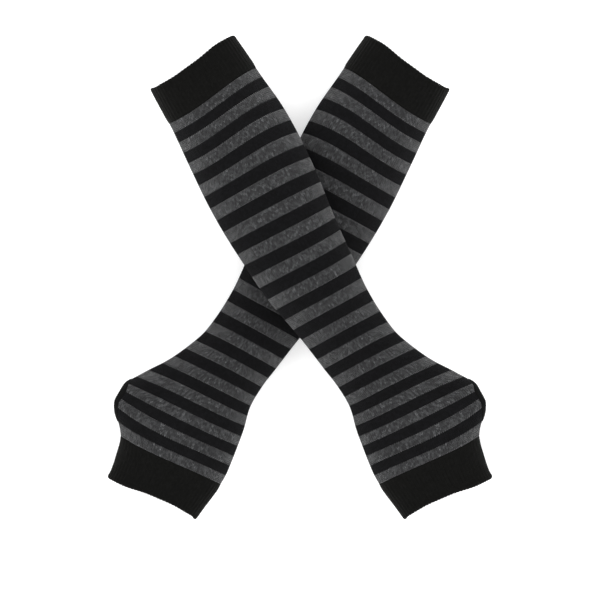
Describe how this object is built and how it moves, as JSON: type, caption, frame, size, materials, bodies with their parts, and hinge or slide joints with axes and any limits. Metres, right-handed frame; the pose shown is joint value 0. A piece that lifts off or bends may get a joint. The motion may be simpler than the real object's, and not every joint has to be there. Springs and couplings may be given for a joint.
{
  "type": "fingerless gloves",
  "caption": "Long striped knit fingerless gloves with turned cuffs and bound thumb openings, laid crossed; they warm the forearms and hands.",
  "frame": {"origin": "on the surface the gloves lie on, under the middle of the crossed pair's bounding box", "axes": "+X across the pair towards the right glove's hand, +Y from the hands to the arm edges, +Z up from the surface; the picture looks straight down -Z with +Y up"},
  "size_m": [0.2772, 0.3486, 0.0757],
  "materials": {
    "black_rib": "fine rib knit, doubled, matt",
    "black_yarn": "plain knit, matt, slightly fuzzy",
    "grey_yarn": "heather grey melange knit, matt, slightly fuzzy",
    "plating_yarn": "fine elastic plating yarn, inside face, faint sheen",
    "black_binding": "folded knit binding, matt",
    "sewing_thread": "spun polyester thread, faint sheen",
    "elastic_yarn": "covered elastic yarn, natural colour, hidden in the cuffs"
  },
  "bodies": {
    "left_forearm": {"left_arm_cuff": "black_rib", "left_arm_cuff_elastic": "elastic_yarn", "left_arm_cuff_linking": "sewing_thread", "left_forearm_grey_bands": "grey_yarn", "left_forearm_black_bands": "black_yarn", "left_forearm_plating": "plating_yarn", "left_wrist_grey_bands": "grey_yarn", "left_wrist_black_bands": "black_yarn", "left_wrist_plating": "plating_yarn"},
    "left_hand": {"left_hand_grey_bands": "grey_yarn", "left_hand_black_bands": "black_yarn", "left_hand_plating": "plating_yarn", "left_thumb_binding": "black_binding", "left_thumb_overlock": "sewing_thread", "left_hand_cuff": "black_rib", "left_hand_cuff_elastic": "elastic_yarn", "left_hand_cuff_linking": "sewing_thread"},
    "right_forearm": {"right_arm_cuff": "black_rib", "right_arm_cuff_elastic": "elastic_yarn", "right_arm_cuff_linking": "sewing_thread", "right_forearm_grey_bands": "grey_yarn", "right_forearm_black_bands": "black_yarn", "right_forearm_plating": "plating_yarn", "right_wrist_grey_bands": "grey_yarn", "right_wrist_black_bands": "black_yarn", "right_wrist_plating": "plating_yarn"},
    "right_hand": {"right_hand_grey_bands": "grey_yarn", "right_hand_black_bands": "black_yarn", "right_hand_plating": "plating_yarn", "right_thumb_binding": "black_binding", "right_thumb_overlock": "sewing_thread", "right_hand_cuff": "black_rib", "right_hand_cuff_elastic": "elastic_yarn", "right_hand_cuff_linking": "sewing_thread"}
  },
  "joints": [
    {"name": "left_wrist_bend", "type": "hinge", "parent": "left_forearm", "child": "left_hand", "pos_m": [-0.04246, -0.05126, 0.0169], "axis": [-0.8616, 0.5075, 0], "range_deg": [-75, 70], "deforming": ["left_wrist_grey_bands", "left_wrist_black_bands", "left_wrist_plating"]},
    {"name": "right_wrist_bend", "type": "hinge", "parent": "right_forearm", "child": "right_hand", "pos_m": [0.04246, -0.05126, 0.03693], "axis": [-0.8616, -0.5075, 0], "range_deg": [-75, 70], "deforming": ["right_wrist_grey_bands", "right_wrist_black_bands", "right_wrist_plating"]},
    {"name": "right_glove_lift", "type": "slide", "parent": "left_forearm", "child": "right_forearm", "axis": [0, 0, 1], "range_m": [0, 0.25]}
  ]
}
